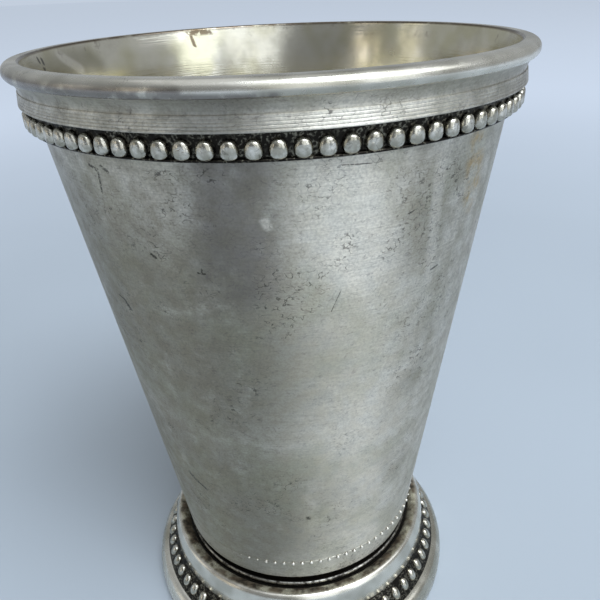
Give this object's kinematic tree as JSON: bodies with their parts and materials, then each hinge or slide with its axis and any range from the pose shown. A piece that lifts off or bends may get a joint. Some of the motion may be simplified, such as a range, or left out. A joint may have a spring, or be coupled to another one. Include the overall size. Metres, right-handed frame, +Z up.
{
  "type": "julep cup",
  "caption": "Tapered metal julep cup with a rolled lip, moulded and beaded rim band and a beaded spun foot; open at the top and free-standing.",
  "frame": {"origin": "centre of the flat face that the cup stands on", "axes": "+Z up along the cup's axis, from the foot to the lip; the cup is round, so +X and +Y are alike"},
  "size_m": [0.0824, 0.0824, 0.115],
  "materials": {
    "satin_silver": "aged silver plate, finely brushed round the cup, warm grey",
    "polished_silver": "polished silver plate, softly worn",
    "oxidised_silver": "polished beads on a strip blackened with old tarnish"
  },
  "bodies": {
    "root": {"cup_wall": "satin_silver", "base_pan": "satin_silver", "lip_wire": "polished_silver", "rim_collar": "satin_silver", "reeded_band": "satin_silver", "rim_bead_wire": "oxidised_silver", "neck_ring": "polished_silver", "foot_ring": "polished_silver", "foot_bead_wire": "oxidised_silver", "foot_base_wire": "polished_silver"}
  },
  "joints": []
}
